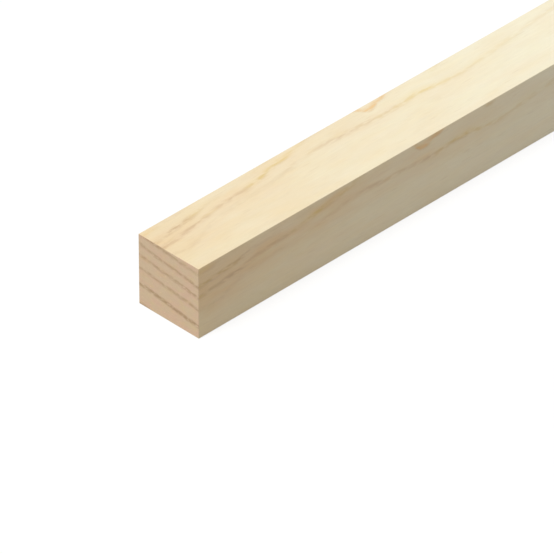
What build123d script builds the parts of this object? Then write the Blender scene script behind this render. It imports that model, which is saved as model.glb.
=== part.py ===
"""A timber furring strip: one straight length of planed softwood, square in section.

The strip lies on one of its long faces. X runs along its length, Y across its width and Z up through
its thickness. The origin is on the resting face, midway along the length and the width.
"""

import os

from build123d import *

# Dressed section of a nominal two by two, and an eight foot length, in millimetres.
WIDTH = 38.0
THICKNESS = 38.0
LENGTH = 2438.0

# The planer leaves each long edge just off sharp.
ARRIS_RADIUS = 0.25


def section():
    """The dressed cross-section, standing on the origin in the plane that the saw cuts across."""
    outline = RectangleRounded(WIDTH, THICKNESS, ARRIS_RADIUS, align=(Align.CENTER, Align.MIN))
    return Plane.YZ * outline


def furring_strip():
    """The section drawn out along the grain, half the length each way, and cut square at both ends."""
    return extrude(section(), amount=LENGTH / 2, both=True)


os.makedirs("parts", exist_ok=True)
strip = furring_strip()
strip.label = "furring_strip"
export_step(strip, "parts/furring_strip.step")
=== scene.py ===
"""The looks of a timber furring strip: its planed faces, sawn ends and growth rings, on a plain pale floor.

X runs along the strip from the near end, Y across it and Z up from the floor, all in metres.
"""

import math
from itertools import pairwise
from typing import NamedTuple

import bmesh
import bpy
import numpy as np
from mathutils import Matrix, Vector


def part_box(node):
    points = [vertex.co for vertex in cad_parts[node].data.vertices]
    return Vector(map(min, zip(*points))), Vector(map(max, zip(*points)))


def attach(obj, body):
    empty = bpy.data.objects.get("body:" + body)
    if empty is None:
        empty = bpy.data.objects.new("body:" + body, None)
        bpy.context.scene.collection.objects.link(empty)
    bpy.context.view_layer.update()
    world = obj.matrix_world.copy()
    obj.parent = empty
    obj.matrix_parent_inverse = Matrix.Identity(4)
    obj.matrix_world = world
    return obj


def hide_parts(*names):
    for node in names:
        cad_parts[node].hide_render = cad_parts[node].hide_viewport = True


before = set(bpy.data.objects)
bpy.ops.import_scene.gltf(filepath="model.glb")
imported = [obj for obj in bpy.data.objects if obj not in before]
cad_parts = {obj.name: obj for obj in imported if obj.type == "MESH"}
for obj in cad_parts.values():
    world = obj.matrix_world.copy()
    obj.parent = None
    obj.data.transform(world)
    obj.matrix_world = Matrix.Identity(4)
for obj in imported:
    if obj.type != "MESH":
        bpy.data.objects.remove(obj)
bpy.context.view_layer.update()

# The furring strip is one straight length of pale softwood, such as pine or spruce. It is planed on its four
# long faces, which leaves the arrises just off sharp, and sawn square at both ends. Nothing is fixed to it:
# it lies loose on one long face until it is nailed up.
STRIP_LOW, STRIP_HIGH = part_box("furring_strip")
LENGTH, WIDTH, THICKNESS = STRIP_HIGH - STRIP_LOW
ARRIS_RADIUS = 0.00025
ARRIS_STEPS = 3
END_EASE = 0.00015
EDGE_SLACK = ARRIS_RADIUS / 10

# The near stretch has the smaller cells, as its grain turns most sharply.
NEAR_STRETCH = 0.30
NEAR_CELLS = 150
FAR_CELLS = 430
CELLS_ACROSS = 32

# Past these shares, an edge counts as running along an axis and a face as looking along one.
ALONG_AXIS_SHARE = 0.5
FLATNESS_SHARE = 0.9999


def edges_along(shape, axis):
    """The edges of a square-cut shape that run along one axis, as 0, 1 or 2."""
    found = []
    for edge in shape.edges:
        run = edge.verts[1].co - edge.verts[0].co
        if abs(run[axis]) > ALONG_AXIS_SHARE * run.length:
            found.append(edge)
    return found


def is_arris(edge):
    """True for an edge where two of the long faces meet."""
    _, across, up = edge.verts[0].co - (STRIP_LOW + STRIP_HIGH) / 2
    return abs(across) > WIDTH / 2 - EDGE_SLACK and abs(up) > THICKNESS / 2 - EDGE_SLACK


def is_end_edge(edge):
    """True for an edge round a sawn end."""
    on_end = [abs(face.normal.x) > FLATNESS_SHARE for face in edge.link_faces]
    return any(on_end) and not all(on_end)


def cut_cells(blank):
    """Cuts a bar into small cells: the near stretch finely, and the rest less so."""
    stretch_end = STRIP_LOW.x + NEAR_STRETCH
    bmesh.ops.bisect_plane(blank, geom=[*blank.verts, *blank.edges, *blank.faces],
                           plane_co=(stretch_end, 0, 0), plane_no=(1, 0, 0))
    runs = edges_along(blank, 0)
    near = [edge for edge in runs if edge.verts[0].co.x + edge.verts[1].co.x < 2 * stretch_end]
    far = [edge for edge in runs if edge not in near]
    bmesh.ops.subdivide_edges(blank, edges=near, cuts=NEAR_CELLS - 1)
    bmesh.ops.subdivide_edges(blank, edges=far, cuts=FAR_CELLS - 1)
    cross_edges = edges_along(blank, 1) + edges_along(blank, 2)
    bmesh.ops.subdivide_edges(blank, edges=cross_edges, cuts=CELLS_ACROSS - 1, use_grid_fill=True)


def ease_edges(blank):
    """Rounds the arrises, breaks the edges of the ends, and keeps the flat faces' shading flat."""
    arrises = [edge for edge in edges_along(blank, 0) if is_arris(edge)]
    bmesh.ops.bevel(blank, geom=arrises, offset=ARRIS_RADIUS, segments=ARRIS_STEPS,
                    profile=0.5, affect="EDGES", material=-1)
    blank.normal_update()
    end_edges = [edge for edge in blank.edges if is_end_edge(edge)]
    bmesh.ops.bevel(blank, geom=end_edges, offset=END_EASE, segments=1,
                    profile=0.5, affect="EDGES", material=-1)
    blank.normal_update()
    for edge in blank.edges:
        flat = [max(map(abs, face.normal)) > FLATNESS_SHARE for face in edge.link_faces]
        edge.smooth = all(flat) or not any(flat)


def cut_blank():
    """The strip as planed and sawn: a bar of the CAD node's size, in small cells, with its edges eased."""
    blank = bmesh.new()
    bmesh.ops.create_cube(blank, size=1.0)
    bmesh.ops.scale(blank, vec=STRIP_HIGH - STRIP_LOW, verts=blank.verts)
    bmesh.ops.translate(blank, vec=(STRIP_LOW + STRIP_HIGH) / 2, verts=blank.verts)
    cut_cells(blank)
    ease_edges(blank)
    for face in blank.faces:
        face.smooth = True
    mesh = bpy.data.meshes.new("timber_strip")
    blank.to_mesh(mesh)
    blank.free()
    return mesh


strip_mesh = cut_blank()

# The growth rings are laid out as lines, each a depth below the face's outer edge at every station along the
# length. Two lines are listed point by point for the first stretch from the near end. The rest keep their
# distance from them, and past that stretch they all wander together.
STATION_GAP = 0.001
stations = np.arange(0.0, LENGTH + STATION_GAP, STATION_GAP)
RING_SEED = 11
chance = np.random.default_rng(RING_SEED)

# Places from the near end, each with the line's depth there.
LONG_LINE = (
    (0.000, 0.0220), (0.006, 0.0237), (0.013, 0.0230), (0.029, 0.0170), (0.045, 0.0153), (0.066, 0.0142),
    (0.077, 0.0128), (0.090, 0.0106), (0.100, 0.0091), (0.107, 0.0091), (0.118, 0.0102), (0.131, 0.0105),
    (0.140, 0.0115), (0.155, 0.0112), (0.164, 0.0104), (0.172, 0.0109), (0.180, 0.0126), (0.188, 0.0131),
    (0.197, 0.0128), (0.207, 0.0116), (0.217, 0.0104), (0.233, 0.0088), (0.247, 0.0070), (0.262, 0.0058),
)
UPPER_LINE = (
    (0.000, 0.0155), (0.014, 0.0139), (0.026, 0.0127), (0.036, 0.0105), (0.044, 0.0097), (0.053, 0.0094),
    (0.061, 0.0087), (0.068, 0.0077), (0.076, 0.0056), (0.085, 0.0044), (0.093, 0.0030), (0.100, 0.0010),
    (0.108, -0.0012), (0.128, -0.0020), (0.135, -0.0008), (0.140, 0.0042), (0.144, 0.0038), (0.148, 0.0020),
    (0.153, 0.0012), (0.157, -0.0004), (0.165, -0.0020), (0.179, -0.0005), (0.185, 0.0013), (0.191, -0.0005),
    (0.205, -0.0030), (0.262, -0.0015),
)
LINE_EASE = 0.004

# Past the listed stretch the long line wanders about its home depth, and the upper line keeps above it.
# A wave is the gap between its turns, and its reach.
WANDER_JOIN = 0.12
LONG_LINE_HOME = 0.0125
LONG_LINE_WAVES = ((0.32, 0.0085), (0.09, 0.0020))
UPPER_LINE_RISE = 0.0068
UPPER_LINE_WAVE = (0.11, 0.0020)

# The other lines, from the outermost in: those above the upper line, and those below the long line.
OUTER_OFFSETS = (-0.0270, -0.0200, -0.0125, -0.0056)
INNER_OFFSETS = (0.0091, 0.0200, 0.0330, 0.0480)


def eased(values, width):
    """The values at the stations, with each bend rounded over that width."""
    half = int(width / STATION_GAP) // 2 + 1
    window = np.hanning(2 * half + 1)
    padded = np.pad(values, half, mode="edge")
    return np.convolve(padded, window / window.sum(), mode="valid")


def wander(gap, reach):
    """A smooth seeded wave along the length, which turns about once in each gap and stays within reach."""
    turns = np.arange(-gap, LENGTH + 2 * gap, gap)
    return eased(np.interp(stations, turns, chance.uniform(-reach, reach, len(turns))), gap)


def along_length(points):
    """Listed (place, value) points, read at each station."""
    places, values = zip(*points)
    return np.interp(stations, places, values)


def past_hand_set():
    """0 where the lines are listed, easing to 1 where they wander."""
    share = np.clip((stations - LONG_LINE[-1][0]) / WANDER_JOIN, 0, 1)
    return share * share * (3 - 2 * share)


def lay_out_rings():
    """Every ring line's depth at each station, from the outermost in."""
    free = past_hand_set()
    roaming = LONG_LINE_HOME + sum(wander(*wave) for wave in LONG_LINE_WAVES)
    long_line = eased(along_length(LONG_LINE), LINE_EASE) * (1 - free) + roaming * free
    roaming_upper = long_line - UPPER_LINE_RISE + wander(*UPPER_LINE_WAVE)
    upper_line = eased(along_length(UPPER_LINE), LINE_EASE) * (1 - free) + roaming_upper * free
    outer = [upper_line + offset for offset in OUTER_OFFSETS]
    inner = [long_line + offset for offset in INNER_OFFSETS]
    return [*outer, upper_line, long_line, *inner]


ring_lines = lay_out_rings()

# How strongly each line shows, from the outermost in, with the listed stretches by the line's number. Past
# them a share is uneven: it swings by its unrest, and turns about once in each gap.
FREE_STRENGTH_SHARES = (0.35, 0.35, 0.35, 0.40, 0.50, 0.50, 0.15, 0.10, 0.10, 0.10)
NEAR_STRENGTH_SHARES = {
    2: ((0.000, 0.20), (0.040, 0.08)),
    3: ((0.000, 0.58), (0.012, 0.86), (0.022, 0.82), (0.030, 0.57), (0.037, 0.18), (0.050, 0.05)),
    4: ((0.000, 0.71), (0.012, 0.60), (0.020, 0.71), (0.028, 0.68), (0.036, 0.41), (0.045, 0.42),
        (0.060, 0.52), (0.068, 0.66), (0.084, 0.66), (0.093, 0.32), (0.130, 0.06), (0.138, 0.36),
        (0.150, 0.36), (0.157, 0.10), (0.179, 0.10), (0.185, 0.45), (0.191, 0.10)),
    5: ((0.000, 0.18), (0.012, 0.28), (0.021, 0.10), (0.048, 0.16), (0.068, 0.12), (0.083, 0.23),
        (0.100, 0.22), (0.116, 0.43), (0.132, 0.37), (0.148, 0.48), (0.158, 0.72), (0.172, 0.82),
        (0.181, 0.42), (0.190, 0.35), (0.204, 0.33), (0.213, 0.30), (0.228, 0.31), (0.262, 0.24)),
    6: ((0.000, 0.06), (0.162, 0.03), (0.170, 0.20), (0.175, 0.16), (0.184, 0.03)),
    7: ((0.000, 0.03), (0.262, 0.03)),
}
STRENGTH_UNREST_SHARE = 0.6
UNREST_GAP = 0.07

# Where the wood between the lines is warmer, by the line's number.
FREE_WARMTH_SHARES = (0.2, 0.2, 0.2, 0.2, 0.3, 0.3, 0.0, 0.0, 0.0, 0.0)
NEAR_WARMTH_SHARES = {
    2: ((0.000, 0.70), (0.020, 0.45), (0.040, 0.20), (0.090, 0.10)),
    3: ((0.000, 0.95), (0.020, 0.72), (0.045, 0.42), (0.065, 0.25), (0.100, 0.08), (0.125, 0.00),
        (0.134, 0.25), (0.155, 0.25), (0.163, 0.00)),
    4: ((0.000, 1.00), (0.060, 1.00), (0.090, 0.80), (0.105, 0.35), (0.125, 0.20), (0.160, 0.20),
        (0.180, 0.00)),
    5: ((0.000, 0.45), (0.040, 0.62), (0.090, 0.58), (0.130, 0.58), (0.170, 0.40), (0.215, 0.08)),
    6: ((0.000, 0.10), (0.040, 0.00)),
}
WARMTH_UNREST_SHARE = 0.9

# Where resin has soaked a line, by the line's number.
FREE_RESIN_SHARES = (0.0,) * len(ring_lines)
NEAR_RESIN_SHARES = {
    2: ((0.000, 0.40), (0.006, 0.30), (0.012, 0.00)),
    3: ((0.000, 0.08), (0.030, 0.08), (0.040, 0.00)),
    4: ((0.000, 0.10), (0.030, 0.08), (0.056, 0.08), (0.067, 0.22), (0.077, 0.28), (0.086, 0.25),
        (0.096, 0.16), (0.106, 0.00), (0.134, 0.00), (0.138, 0.95), (0.146, 0.95), (0.153, 0.85),
        (0.157, 0.00), (0.181, 0.00), (0.185, 0.35), (0.189, 0.00)),
    5: ((0.090, 0.00), (0.102, 0.06), (0.118, 0.08), (0.127, 0.02), (0.152, 0.06), (0.163, 0.34),
        (0.173, 0.42), (0.186, 0.16), (0.204, 0.08), (0.262, 0.04)),
}
RESIN_UNREST_SHARE = 0.0


def by_line(near_tables, free_shares, unrest_share):
    """A share for each line at each station: listed near the end, and uneven past that."""
    free = past_hand_set()
    found = []
    for number, usual in enumerate(free_shares):
        roaming = usual * (1 + wander(UNREST_GAP, unrest_share))
        near = along_length(near_tables.get(number, ((0.0, usual),)))
        found.append(near * (1 - free) + roaming * free)
    return found


strengths = by_line(NEAR_STRENGTH_SHARES, FREE_STRENGTH_SHARES, STRENGTH_UNREST_SHARE)
warmths = by_line(NEAR_WARMTH_SHARES, FREE_WARMTH_SHARES, WARMTH_UNREST_SHARE)
resins = by_line(NEAR_RESIN_SHARES, FREE_RESIN_SHARES, RESIN_UNREST_SHARE)

# The rings lie nearly level and rise towards the hidden side, the outermost three less than the rest. There
# they drift a little too.
RING_DIPS = (0.0016, 0.0016, 0.0026, 0.0040, 0.0038, 0.0034) + (0.0039,) * len(INNER_OFFSETS)
HIDDEN_DRIFT_WAVE = (0.2, 0.0022)
hidden_drift = wander(*HIDDEN_DRIFT_WAVE)

# Where a line and its resin are golden instead of brown and orange, by the line's number.
FREE_GOLDEN_SHARES = (0.5,) * len(ring_lines)
NEAR_GOLDEN_SHARES = {
    3: ((0.000, 0.25), (0.060, 0.40)),
    4: ((0.000, 0.25), (0.050, 0.30), (0.066, 0.95), (0.100, 0.95), (0.120, 0.00), (0.160, 0.00),
        (0.180, 0.50)),
    5: ((0.000, 0.50), (0.100, 0.40), (0.145, 0.45), (0.158, 1.00), (0.210, 0.90), (0.262, 0.60)),
}
GOLDEN_UNREST_SHARE = 0.6
goldens = by_line(NEAR_GOLDEN_SHARES, FREE_GOLDEN_SHARES, GOLDEN_UNREST_SHARE)

# How strongly each line shows on an end, by the seen side and by the hidden one.
END_STRENGTH_SHARES = (
    (0.60, 0.60), (0.60, 0.60), (0.35, 0.80), (0.68, 0.52), (0.70, 0.50), (0.66, 0.48), (0.95, 0.80),
    (0.60, 0.60), (0.60, 0.60), (0.60, 0.60),
)

# The marks that the mesh carries for its materials, and how much of a mark shows on the top, beside the other
# long faces, at places from the near end.
GRAIN_MARKS = ("ring_place", "ring_width", "line_strength", "warmth", "resin", "golden")
TOP_MARK_SHARES = {
    "line_strength": ((0.036, 0.88), (0.044, 1.10), (0.105, 1.10), (0.120, 1.00), (0.150, 1.00),
                      (0.160, 0.52), (0.176, 0.52), (0.186, 0.82), (0.200, 0.80), (0.210, 0.60),
                      (0.240, 0.60), (0.270, 0.90)),
    "warmth": ((0.000, 0.50),),
}

# A face that looks along the length by more than this share belongs to an end.
END_FACING_SHARE = 0.5


def lines_at(place, hidden_share):
    """The ring lines' depths at places along the length, from the seen side at 0 to the hidden one at 1."""
    drift = np.interp(place, stations, hidden_drift) * hidden_share
    return [np.interp(place, stations, line) - dip * hidden_share + drift
            for line, dip in zip(ring_lines, RING_DIPS)]


def read_across(depth, lines, values):
    """A value at each depth, read in a straight run from each ring line to the next one in."""
    found = np.zeros_like(depth) + values[0]
    for (outer, inner), (start, stop) in zip(pairwise(lines), pairwise(values)):
        found += (stop - start) * np.clip((depth - outer) / (inner - outer), 0, 1)
    return found


def rings_across(depth, lines):
    """The ring place at each depth, as a count of lines from the outermost, and the ring's width there."""
    place = read_across(depth, lines, range(len(lines)))
    widths = np.stack([inner - outer for outer, inner in pairwise(lines)])
    number = np.clip(np.floor(place).astype(int), 0, len(widths) - 1)
    return place, np.take_along_axis(widths, number[np.newaxis], axis=0)[0]


def long_grain(place, depth, hidden_share):
    """The grain marks on a long face, at places along it and depths from its outer edge."""
    lines = lines_at(place, hidden_share)
    found = [*rings_across(depth, lines)]
    for shares in (strengths, warmths, resins, goldens):
        found.append(read_across(depth, lines, [np.interp(place, stations, share) for share in shares]))
    return np.stack(found)


def end_grain(place, depth, hidden_share):
    """The grain marks on a sawn end, at depths from the top and shares of the way to the hidden side."""
    lines = lines_at(place, hidden_share)
    shown = [seen + (hidden - seen) * hidden_share for seen, hidden in END_STRENGTH_SHARES]
    marks = dict.fromkeys(GRAIN_MARKS, np.zeros_like(depth))
    marks["ring_place"], marks["ring_width"] = rings_across(depth, lines)
    marks["line_strength"] = read_across(depth, lines, shown)
    return np.stack(list(marks.values()))


def which_way(normals):
    """The axis that each normal keeps closest to, as 0, 1 or 2, and whether it points up that axis."""
    on_end = np.abs(normals[:, 0]) > END_FACING_SHARE
    axis = np.where(on_end, 0, 1 + np.abs(normals[:, 1:]).argmax(axis=1))
    return axis, normals[np.arange(len(normals)), axis] > 0


def read_grain(points, normals):
    """The grain marks at points on the strip, by the way that each one's face looks."""
    x, y, z = points.T
    axis, upwards = which_way(normals)
    place = x - STRIP_LOW.x
    below_top = STRIP_HIGH.z - z
    from_hidden_side = STRIP_HIGH.y - y
    hidden_share = 1 - from_hidden_side / WIDTH
    found = np.zeros((len(GRAIN_MARKS), len(points)))
    top = (axis == 2) & upwards
    bottom = (axis == 2) & ~upwards
    seen_side = (axis == 1) & ~upwards
    hidden_side = (axis == 1) & upwards
    ends = axis == 0
    found[:, top] = long_grain(place[top], from_hidden_side[top], 0.0)
    for name, shares in TOP_MARK_SHARES.items():
        found[GRAIN_MARKS.index(name), top] *= np.interp(place[top], stations, along_length(shares))
    found[:, seen_side] = long_grain(place[seen_side], below_top[seen_side], 0.0)
    found[:, hidden_side] = long_grain(place[hidden_side], below_top[hidden_side], 1.0)
    found[:, bottom] = long_grain(LENGTH - place[bottom], WIDTH - from_hidden_side[bottom], 1.0)
    found[:, ends] = end_grain(place[ends], below_top[ends], hidden_share[ends])
    return found, ends


def corner_numbers(mesh):
    """For each corner of the mesh's faces: its place, its face's normal and its face's number."""
    points = np.empty(len(mesh.vertices) * 3, np.float32)
    mesh.vertices.foreach_get("co", points)
    corner_vertex = np.empty(len(mesh.loops), np.int32)
    mesh.loops.foreach_get("vertex_index", corner_vertex)
    normals = np.empty(len(mesh.polygons) * 3, np.float32)
    mesh.polygons.foreach_get("normal", normals)
    corner_counts = np.empty(len(mesh.polygons), np.int32)
    mesh.polygons.foreach_get("loop_total", corner_counts)
    face_of_corner = np.repeat(np.arange(len(corner_counts)), corner_counts)
    return points.reshape(-1, 3)[corner_vertex], normals.reshape(-1, 3)[face_of_corner], face_of_corner


def mark_grain(mesh):
    """Writes the grain marks to the mesh, and gives its ends the second material."""
    points, normals, face_of_corner = corner_numbers(mesh)
    grain, on_end = read_grain(points, normals)
    for name, values in zip(GRAIN_MARKS, grain):
        attribute = mesh.attributes.new(name, "FLOAT", "CORNER")
        attribute.data.foreach_set("value", values.astype(np.float32))
    slots = np.zeros(len(mesh.polygons), np.int32)
    slots[face_of_corner] = on_end
    mesh.polygons.foreach_set("material_index", slots)


mark_grain(strip_mesh)

# The strip also carries a map of its faces, for keeping its finish as a picture. Each long face lies there as
# two rows, half its length in each, and the last row holds the two ends, turned on their sides.
MAP_NAME = "OFBake"
LONG_FACES = 4
ROWS_A_FACE = 2
MAP_ROWS = LONG_FACES * ROWS_A_FACE + 1
MAP_GAP_SHARE = 0.004
HALF_SHARE = 0.5


def lay_out_map(mesh):
    """Gives the mesh its map, on which no two faces overlap."""
    points, normals, face_of_corner = corner_numbers(mesh)
    along, across, up = ((points - np.array(STRIP_LOW)) / np.array(STRIP_HIGH - STRIP_LOW)).T
    axis, upwards = which_way(normals)
    on_end = axis == 0
    face_middles = np.bincount(face_of_corner, along) / np.bincount(face_of_corner)
    second_half = face_middles[face_of_corner] > HALF_SHARE
    long_face = 2 * (axis - 1) + upwards
    row = np.where(on_end, MAP_ROWS - 1, ROWS_A_FACE * long_face + second_half)
    row_start = np.where(on_end, HALF_SHARE * upwards, 0.0)
    row_length = np.where(on_end, HALF_SHARE, 1.0)
    along_row = np.where(on_end, up, ROWS_A_FACE * along - second_half)
    across_row = np.where(axis == 1, up, across)
    u = row_start + MAP_GAP_SHARE + along_row * (row_length - 2 * MAP_GAP_SHARE)
    v = row / MAP_ROWS + MAP_GAP_SHARE + across_row * (1 / MAP_ROWS - 2 * MAP_GAP_SHARE)
    layer = mesh.uv_layers.new(name=MAP_NAME)
    layer.uv.foreach_set("vector", np.stack([u, v], axis=1).astype(np.float32).ravel())


lay_out_map(strip_mesh)

# The planed faces are bare softwood, matt to the eye. Soft brown latewood lines, broken into dashes, run
# through a cream ground that is warmer by the lines and the ends. It has fine fibres and dark resin canals.
# Colours are linear red, green and blue, and a tint multiplies the colour under it.
PALE_WOOD = (0.866, 0.809, 0.615, 1.0)
BLUSH_TINT = (0.990, 0.955, 0.930, 1.0)
WARM_TINT = (0.962, 0.862, 0.790, 1.0)
END_STAIN_TINT = (0.955, 0.868, 0.766, 1.0)
LATEWOOD = (0.550, 0.382, 0.230, 1.0)
GOLDEN_LATEWOOD = (0.655, 0.475, 0.210, 1.0)
RESIN = (0.820, 0.550, 0.260, 1.0)
GOLDEN_RESIN = (0.830, 0.660, 0.270, 1.0)

# The latewood ends a little more sharply on its outer side than on its inner one. Resin spreads outwards.
LATEWOOD_INNER_FADE = 0.0027
LATEWOOD_OUTER_FADE = 0.0021
RESIN_INNER_FADE = 0.0018
RESIN_OUTER_FADE = 0.0045


class Pattern(NamedTuple):
    """Noise in the wood: the size of its clumps along X, Y and Z, its finer detail, and its shift."""

    clump: tuple
    detail: float = 0.0
    shift: float = 0.0


# Blender's noise runs from 0 to 1, and a pattern swings about its middle. The rest are the numbers of the
# Mix node's sockets for colours.
NOISE_MIDDLE = 0.5
MIX_FACTOR_SOCKET = 0
MIX_START_SOCKET = 6
MIX_STOP_SOCKET = 7
MIX_RESULT_SOCKET = 2

# The lines waver and ripple, each within its reach, and break into dashes. A ramp holds the two levels of a
# pattern between which it comes in.
WAVER = Pattern((0.045, 0.004, 0.004), detail=1.0)
WAVER_REACH = 0.0014
RIPPLE = Pattern((0.007, 0.0014, 0.0014), detail=2.0, shift=3.0)
RIPPLE_REACH = 0.0015
DASHES = Pattern((0.005, 0.0015, 0.0015), detail=2.0, shift=5.0)
DASH_RAMP = (-0.18, 0.10)
LEAST_DARKNESS_SHARE = 0.12
LEAST_SEEPED_SHARE = 0.45

# The ground blushes and warms in patches, and it is stained towards the ends.
BLUSH = Pattern((0.030, 0.010, 0.010), detail=3.0, shift=7.0)
BLUSH_RAMP = (-0.2, 0.2)
WARM_PATCHES = Pattern((0.014, 0.004, 0.004), detail=1.0, shift=9.0)
WARM_PATCH_SHARE = 1.6
STAIN_REACH = 0.25
STAIN_POWER = 1.2

# A line turns golden in patches, and the resin canals are short dark strokes.
GOLD_PATCHES = Pattern((0.018, 0.005, 0.005), detail=1.0, shift=23.0)
GOLD_RAMP = (0.15, 0.45)
GOLD_MARK_SHARE = 0.6
CANALS = Pattern((0.011, 0.0005, 0.0005), shift=13.0)
CANAL_RAMP = (0.22, 0.32)
CANAL_SHARE = 0.22

# Fibres, mottle and flecks make the wood lighter and darker by their shares, and the bloom makes it richer.
FIBRES = Pattern((0.022, 0.0004, 0.0004), detail=2.0, shift=11.0)
FIBRE_SHARE = 0.08
MOTTLE = Pattern((0.040, 0.006, 0.006), detail=2.0, shift=15.0)
MOTTLE_SHARE = 0.05
FLECKS = Pattern((0.006, 0.0011, 0.0011), detail=1.0, shift=21.0)
FLECK_SHARE = 0.05
BLOOM = Pattern((0.016, 0.004, 0.004), detail=2.0, shift=25.0)
BLOOM_SHARE = 0.25

# The latewood is the harder wood, so it is smoother than the rest and stands a little proud of it.
PLANED_ROUGHNESS = 0.62
FIBRE_ROUGHNESS_SHARE = 0.25
LATEWOOD_ROUGHNESS_SHARE = -0.10
LATEWOOD_RELIEF_SHARE = 0.6
PLANED_BUMP = {"Strength": 0.35, "Distance": 0.00006}
PLANED_GLOSS = 0.25


def add_node(tree, kind, inputs=None, **settings):
    """A shader node with its settings made and its inputs set or linked."""
    made = tree.nodes.new("ShaderNode" + kind)
    for name, value in settings.items():
        setattr(made, name, value)
    for name, value in (inputs or {}).items():
        if isinstance(value, bpy.types.NodeSocket):
            tree.links.new(value, made.inputs[name])
        else:
            made.inputs[name].default_value = value
    return made


def reckon(tree, operation, *numbers):
    """One sum on sockets or numbers."""
    return add_node(tree, "Math", dict(enumerate(numbers)), operation=operation).outputs[0]


def tint(tree, share, start, stop, blend="MIX"):
    """A colour that goes from start to stop by a share, or with MULTIPLY from start to start times stop."""
    inputs = {MIX_FACTOR_SOCKET: share, MIX_START_SOCKET: start, MIX_STOP_SOCKET: stop}
    mix = add_node(tree, "Mix", inputs, data_type="RGBA", blend_type=blend)
    return mix.outputs[MIX_RESULT_SOCKET]


def drawn_noise(tree, pattern):
    """A pattern's noise, about 0."""
    place = add_node(tree, "TexCoord").outputs["Object"]
    scale = [1 / length for length in pattern.clump]
    drawn = add_node(tree, "Mapping", {"Vector": place, "Location": (pattern.shift,) * 3, "Scale": scale})
    noise = add_node(tree, "TexNoise", {"Vector": drawn.outputs[0], "Scale": 1.0, "Detail": pattern.detail})
    return reckon(tree, "SUBTRACT", noise.outputs["Fac"], NOISE_MIDDLE)


def ramp_up(tree, value, low, high):
    """A share that rises smoothly from 0 at low to 1 at high."""
    ends = {"Value": value, "From Min": low, "From Max": high}
    return add_node(tree, "MapRange", ends, interpolation_type="SMOOTHSTEP").outputs[0]


def at_least(tree, share, least):
    """A share squeezed into the run from least to 1."""
    return reckon(tree, "MULTIPLY_ADD", share, 1 - least, least)


def uneven(tree, *swings):
    """A number about 1, which swings with each noise by that noise's share."""
    level = 1.0
    for noise, share in swings:
        level = reckon(tree, "MULTIPLY_ADD", noise, share, level)
    return level


def read_mark(tree, name):
    """An attribute that the mesh carries."""
    return add_node(tree, "Attribute", attribute_name=name).outputs["Fac"]


def shaken_rings(tree, *shakes):
    """How far each place is inwards from one ring line and outwards from the next, with the lines shaken."""
    width = read_mark(tree, "ring_width")
    place = read_mark(tree, "ring_place")
    for noise, reach in shakes:
        moved = reckon(tree, "DIVIDE", reckon(tree, "MULTIPLY", noise, reach), width)
        place = reckon(tree, "ADD", place, moved)
    share = reckon(tree, "FRACT", place)
    inwards = reckon(tree, "MULTIPLY", share, width)
    return inwards, reckon(tree, "SUBTRACT", width, inwards)


def fade_from_line(tree, rings, inner_fade, outer_fade):
    """1 on a ring line, fading to 0 over one length inwards and another outwards."""
    inwards, outwards = rings
    inner_side = ramp_up(tree, inwards, inner_fade, 0.0)
    outer_side = ramp_up(tree, outwards, outer_fade, 0.0)
    return reckon(tree, "MAXIMUM", inner_side, outer_side)


def bare_tree(owner):
    """The node tree of a new material or world, emptied."""
    owner.use_nodes = True
    owner.node_tree.nodes.clear()
    return owner.node_tree


def add_surface(tree, colour, roughness, relief, bump, gloss):
    """Ends a wood material's tree with its shader and its fine relief."""
    normal = add_node(tree, "Bump", {"Height": relief, **bump}).outputs[0]
    shader = add_node(tree, "BsdfPrincipled", {
        "Base Color": colour, "Roughness": roughness, "Normal": normal, "Specular IOR Level": gloss,
    })
    add_node(tree, "OutputMaterial", {"Surface": shader.outputs[0]})


def latewood_lines(tree):
    """How dark and how resinous the latewood is."""
    waver = drawn_noise(tree, WAVER)
    ripple = drawn_noise(tree, RIPPLE)
    rings = shaken_rings(tree, (waver, WAVER_REACH), (ripple, RIPPLE_REACH))
    dashes = ramp_up(tree, drawn_noise(tree, DASHES), *DASH_RAMP)
    darkness = at_least(tree, dashes, LEAST_DARKNESS_SHARE)
    shown = reckon(tree, "MULTIPLY", read_mark(tree, "line_strength"), darkness)
    band = fade_from_line(tree, rings, LATEWOOD_INNER_FADE, LATEWOOD_OUTER_FADE)
    resin_band = fade_from_line(tree, rings, RESIN_INNER_FADE, RESIN_OUTER_FADE)
    latewood = reckon(tree, "MULTIPLY", band, shown)
    seeped = at_least(tree, darkness, LEAST_SEEPED_SHARE)
    soaked = reckon(tree, "MULTIPLY", read_mark(tree, "resin"), seeped)
    return latewood, reckon(tree, "MULTIPLY", resin_band, soaked)


def end_stain(tree):
    """A share that grows from 0 to 1 over the last stretch towards each end."""
    x = add_node(tree, "SeparateXYZ", {0: add_node(tree, "TexCoord").outputs["Object"]}).outputs["X"]
    stretch = {"From Min": LENGTH / 2 - STAIN_REACH, "From Max": LENGTH / 2}
    grown = add_node(tree, "MapRange", {"Value": reckon(tree, "ABSOLUTE", x), **stretch}).outputs[0]
    return reckon(tree, "POWER", grown, STAIN_POWER)


def ground_wood(tree):
    """The cream wood between the lines."""
    blush = ramp_up(tree, drawn_noise(tree, BLUSH), *BLUSH_RAMP)
    ground = tint(tree, blush, PALE_WOOD, BLUSH_TINT, blend="MULTIPLY")
    patches = uneven(tree, (drawn_noise(tree, WARM_PATCHES), WARM_PATCH_SHARE))
    warmth = reckon(tree, "MULTIPLY", read_mark(tree, "warmth"), patches)
    warmed = tint(tree, warmth, ground, WARM_TINT, blend="MULTIPLY")
    return tint(tree, end_stain(tree), warmed, END_STAIN_TINT, blend="MULTIPLY")


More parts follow.
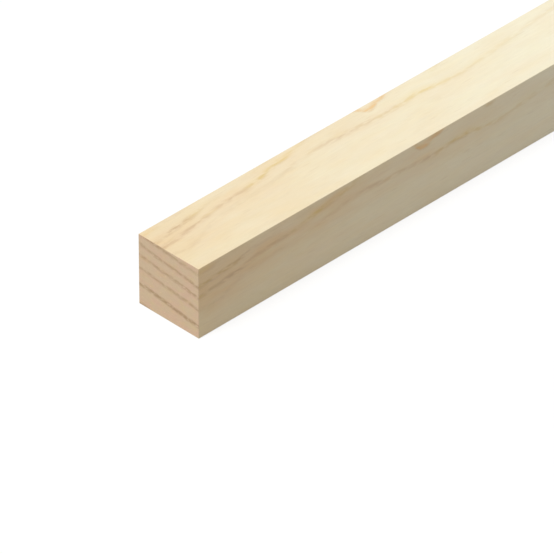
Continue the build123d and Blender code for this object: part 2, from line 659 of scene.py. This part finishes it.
def planed_colour(tree, latewood, resin):
    """The ground with its lines, its resin and its canals."""
    gold = drawn_noise(tree, GOLD_PATCHES)
    golden_lean = reckon(tree, "MULTIPLY_ADD", read_mark(tree, "golden"), GOLD_MARK_SHARE, gold)
    golden = ramp_up(tree, golden_lean, *GOLD_RAMP)
    lined = tint(tree, latewood, ground_wood(tree), tint(tree, golden, LATEWOOD, GOLDEN_LATEWOOD))
    resined = tint(tree, resin, lined, tint(tree, golden, RESIN, GOLDEN_RESIN))
    canals = ramp_up(tree, drawn_noise(tree, CANALS), *CANAL_RAMP)
    return tint(tree, reckon(tree, "MULTIPLY", canals, CANAL_SHARE), resined, LATEWOOD)


def planed_softwood():
    """The material of the four planed faces."""
    material = bpy.data.materials.new("planed_softwood")
    tree = bare_tree(material)
    latewood, resin = latewood_lines(tree)
    colour = planed_colour(tree, latewood, resin)
    mottle = drawn_noise(tree, MOTTLE)
    fibres = drawn_noise(tree, FIBRES)
    flecks = drawn_noise(tree, FLECKS)
    shade = uneven(tree, (fibres, FIBRE_SHARE), (mottle, MOTTLE_SHARE), (flecks, FLECK_SHARE))
    richness = uneven(tree, (drawn_noise(tree, BLOOM), BLOOM_SHARE))
    toned = add_node(tree, "HueSaturation", {"Color": colour, "Saturation": richness, "Value": shade})
    dull = reckon(tree, "MULTIPLY_ADD", fibres, FIBRE_ROUGHNESS_SHARE, PLANED_ROUGHNESS)
    roughness = reckon(tree, "MULTIPLY_ADD", latewood, LATEWOOD_ROUGHNESS_SHARE, dull)
    relief = reckon(tree, "MULTIPLY_ADD", latewood, LATEWOOD_RELIEF_SHARE, fibres)
    add_surface(tree, toned.outputs[0], roughness, relief, PLANED_BUMP, PLANED_GLOSS)
    return material


# The sawn ends are the same wood cut across its fibres, so they are darker, pinker and duller. The rings show
# as brown bands in dashes, with fine rays between them. The saw has left faint marks and pale torn fibres.
END_FIELD = (0.666, 0.518, 0.351, 1.0)
END_PINK_TINT = (1.030, 0.960, 1.000, 1.0)
END_STRAW_TINT = (1.010, 1.020, 0.930, 1.0)
END_LATEWOOD = (0.420, 0.285, 0.165, 1.0)

# The bands waver, ripple and break up as the lines on the long faces do, and a weaker band is thinner too.
END_INNER_FADE = 0.0019
END_OUTER_FADE = 0.0012
END_WAVER = Pattern((0.01, 0.010, 0.008))
END_WAVER_REACH = 0.0010
END_RIPPLE = Pattern((0.01, 0.0032, 0.0014), detail=1.0, shift=3.0)
END_RIPPLE_REACH = 0.0011
END_DASHES = Pattern((0.01, 0.0028, 0.0014), detail=1.0, shift=5.0)
END_DASH_RAMP = (-0.30, 0.10)
THINNEST_BAND_POWER = 1.5

# The wood between the bands has patches of pink and straw.
PINK_PATCHES = Pattern((0.01, 0.008, 0.004), detail=1.0, shift=9.0)
PINK_RAMP = (-0.15, 0.20)
STRAW_PATCHES = Pattern((0.01, 0.006, 0.003), detail=1.0, shift=19.0)
STRAW_RAMP = (-0.05, 0.25)

# Pores, rays, feathered cuts and torn fibres make the end lighter and darker by their shares.
PORES = Pattern((0.01, 0.0003, 0.0003), detail=1.0, shift=17.0)
PORE_SHARE = 0.10
RAYS = Pattern((0.01, 0.00035, 0.005), detail=2.0, shift=13.0)
RAY_SHARE = 0.06
FEATHERS = Pattern((0.01, 0.0030, 0.0008), detail=1.0, shift=15.0)
FEATHER_SHARE = 0.10
TEARS = Pattern((0.01, 0.0011, 0.0007), shift=27.0)
TEAR_RAMP = (0.20, 0.34)
TEAR_SHARE = 0.12

# The saw's marks are slightly bent ridges. Blender's wave repeats at this length when its scale is 1.
WAVE_REPEAT = math.pi / 10
SAW_MARK_GAP = 0.0017
SAW_MARK_LEAN = 20.0
SAW_MARK_BEND = {"Distortion": 1.5, "Detail": 1.0}
SAW_MARK_SHARE = 0.25

# The cut fibres leave the ends rough and nearly without gloss.
END_ROUGHNESS = 0.82
PORE_ROUGHNESS_SHARE = 0.2
END_BUMP = {"Strength": 0.4, "Distance": 0.00008}
END_GLOSS = 0.15


def end_lines(tree):
    """How dark the latewood bands are on a sawn end, where a stronger band is wider too."""
    waver = drawn_noise(tree, END_WAVER)
    ripple = drawn_noise(tree, END_RIPPLE)
    rings = shaken_rings(tree, (waver, END_WAVER_REACH), (ripple, END_RIPPLE_REACH))
    strength = read_mark(tree, "line_strength")
    thinness = reckon(tree, "SUBTRACT", THINNEST_BAND_POWER, strength)
    band = reckon(tree, "POWER", fade_from_line(tree, rings, END_INNER_FADE, END_OUTER_FADE), thinness)
    dashes = ramp_up(tree, drawn_noise(tree, END_DASHES), *END_DASH_RAMP)
    return reckon(tree, "MULTIPLY", band, reckon(tree, "MULTIPLY", strength, dashes))


def end_field(tree):
    """The wood between the bands, in patches of pink and straw."""
    pink = ramp_up(tree, drawn_noise(tree, PINK_PATCHES), *PINK_RAMP)
    straw = ramp_up(tree, drawn_noise(tree, STRAW_PATCHES), *STRAW_RAMP)
    pinked = tint(tree, pink, END_FIELD, END_PINK_TINT, blend="MULTIPLY")
    return tint(tree, straw, pinked, END_STRAW_TINT, blend="MULTIPLY")


def saw_marks(tree):
    """Faint ridges across an end, as the saw's teeth leave them, from 0 to 1."""
    place = add_node(tree, "TexCoord").outputs["Object"]
    lean = (math.radians(SAW_MARK_LEAN), 0.0, 0.0)
    turned = add_node(tree, "Mapping", {"Vector": place, "Rotation": lean}).outputs[0]
    waves = {"Vector": turned, "Scale": WAVE_REPEAT / SAW_MARK_GAP, **SAW_MARK_BEND}
    return add_node(tree, "TexWave", waves, bands_direction="Y").outputs["Fac"]


def sawn_end():
    """The material of the two sawn ends."""
    material = bpy.data.materials.new("sawn_end")
    tree = bare_tree(material)
    lined = tint(tree, end_lines(tree), end_field(tree), END_LATEWOOD)
    rays = drawn_noise(tree, RAYS)
    feathers = drawn_noise(tree, FEATHERS)
    pores = drawn_noise(tree, PORES)
    tears = ramp_up(tree, drawn_noise(tree, TEARS), *TEAR_RAMP)
    shade = uneven(tree, (pores, PORE_SHARE), (rays, RAY_SHARE),
                   (feathers, FEATHER_SHARE), (tears, TEAR_SHARE))
    toned = add_node(tree, "HueSaturation", {"Color": lined, "Value": shade}).outputs[0]
    roughness = reckon(tree, "MULTIPLY_ADD", pores, PORE_ROUGHNESS_SHARE, END_ROUGHNESS)
    torn = reckon(tree, "ADD", pores, tears)
    relief = reckon(tree, "MULTIPLY_ADD", saw_marks(tree), SAW_MARK_SHARE, torn)
    add_surface(tree, toned, roughness, relief, END_BUMP, END_GLOSS)
    return material


strip_mesh.materials.append(planed_softwood())
strip_mesh.materials.append(sawn_end())
strip = bpy.data.objects.new("timber_strip", strip_mesh)
bpy.context.scene.collection.objects.link(strip)
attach(strip, "root")
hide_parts("furring_strip")

# The floor is a plain pale sheet under the strip, far wider than any view. The camera sees it white with the
# strip's own faint shadow, and as light for the strip it is a warm mid grey.
FLOOR_REACH = 150.0
FLOOR_DROP = 0.00005
FLOOR_GREY = (0.48, 0.45, 0.42, 1.0)
WHITE = (1.0, 1.0, 1.0, 1.0)
SHADOW_SHARE = 0.25


def seen_directly(tree):
    """1 for what the camera sees, also in a reflection or through glass."""
    rays = add_node(tree, "LightPath")
    mirrored = reckon(tree, "MAXIMUM", rays.outputs["Is Glossy Ray"], rays.outputs["Is Transmission Ray"])
    return reckon(tree, "MAXIMUM", rays.outputs["Is Camera Ray"], mirrored)


def floor_sheet():
    """The floor's material."""
    material = bpy.data.materials.new("floor_sheet")
    tree = bare_tree(material)
    material.cycles.emission_sampling = "NONE"
    grey = add_node(tree, "BsdfDiffuse", {"Color": FLOOR_GREY})
    pale = add_node(tree, "BsdfDiffuse", {"Color": WHITE})
    glow = add_node(tree, "Emission", {"Color": WHITE, "Strength": 1.0})
    white = add_node(tree, "MixShader", {0: SHADOW_SHARE, 1: glow.outputs[0], 2: pale.outputs[0]})
    both = add_node(tree, "MixShader", {0: seen_directly(tree), 1: grey.outputs[0], 2: white.outputs[0]})
    add_node(tree, "OutputMaterial", {"Surface": both.outputs[0]})
    return material


def lay_floor():
    """A flat square just under the strip."""
    sheet = bmesh.new()
    bmesh.ops.create_grid(sheet, x_segments=1, y_segments=1, size=FLOOR_REACH)
    bmesh.ops.translate(sheet, vec=(0, 0, STRIP_LOW.z - FLOOR_DROP), verts=sheet.verts)
    mesh = bpy.data.meshes.new("floor")
    sheet.to_mesh(mesh)
    sheet.free()
    mesh.materials.append(floor_sheet())
    return bpy.data.objects.new("floor", mesh)


floor = lay_floor()
bpy.context.scene.collection.objects.link(floor)

# The light is a plain pale studio: an even glow all round, and one broad soft lamp above the near end, so the
# top is brightest, the end next and the seen side is in half shade.
GLOW_STRENGTH = 0.40
LAMP_STRENGTH = 2.48
LAMP_ELEVATION = 60.0
LAMP_SPREAD = 25.0


def studio_glow():
    """The world: an even grey glow as light, and white to the camera."""
    world = bpy.data.worlds.new("studio_glow")
    tree = bare_tree(world)
    light = add_node(tree, "Background", {"Color": WHITE, "Strength": GLOW_STRENGTH})
    backdrop = add_node(tree, "Background", {"Color": WHITE, "Strength": 1.0})
    both = add_node(tree, "MixShader", {0: seen_directly(tree), 1: light.outputs[0], 2: backdrop.outputs[0]})
    add_node(tree, "OutputWorld", {"Surface": both.outputs[0]})
    return world


def soft_lamp():
    """The broad lamp, far off past the near end."""
    lamp = bpy.data.lights.new("soft_lamp", "SUN")
    lamp.energy = LAMP_STRENGTH
    lamp.angle = math.radians(LAMP_SPREAD)
    light = bpy.data.objects.new("soft_lamp", lamp)
    rise = math.radians(LAMP_ELEVATION)
    towards_lamp = Vector((-math.cos(rise), 0.0, math.sin(rise)))
    light.rotation_mode = "QUATERNION"
    light.rotation_quaternion = towards_lamp.to_track_quat("Z", "Y")
    return light


bpy.context.scene.world = studio_glow()
bpy.context.scene.collection.objects.link(soft_lamp())
bpy.context.scene.view_settings.view_transform = "Standard"

# The camera looks down on the near end from the left, through a very long lens. It stands so that the strip's
# lowest seen corner falls on its own pixel of the picture.
PICTURE_SIDE = 554
CORNER_PIXEL = (198.80, 338.94)
CORNER_DEPTH = 3.4048
AZIMUTH = -44.86
ELEVATION = 35.845
LENS_MM = 499.3
SENSOR_MM = 36.0


def place_camera():
    """The camera object, set up and in its place."""
    turn = math.radians(AZIMUTH)
    rise = math.radians(ELEVATION)
    back = Vector((math.sin(turn) * math.cos(rise), -math.cos(turn) * math.cos(rise), math.sin(rise)))
    right = Vector((math.cos(turn), math.sin(turn), 0.0))
    up = back.cross(right)
    metres_per_pixel = CORNER_DEPTH * SENSOR_MM / LENS_MM / PICTURE_SIDE
    pixel_across, pixel_down = CORNER_PIXEL
    to_right = (pixel_across - PICTURE_SIDE / 2) * metres_per_pixel
    to_up = (PICTURE_SIDE / 2 - pixel_down) * metres_per_pixel
    lens = bpy.data.cameras.new("camera")
    lens.lens = LENS_MM
    lens.sensor_width = SENSOR_MM
    camera = bpy.data.objects.new("camera", lens)
    camera.location = STRIP_LOW + back * CORNER_DEPTH - right * to_right - up * to_up
    camera.rotation_mode = "QUATERNION"
    camera.rotation_quaternion = (-back).to_track_quat("-Z", "Y")
    return camera


camera = place_camera()
bpy.context.scene.collection.objects.link(camera)
bpy.context.scene.camera = camera
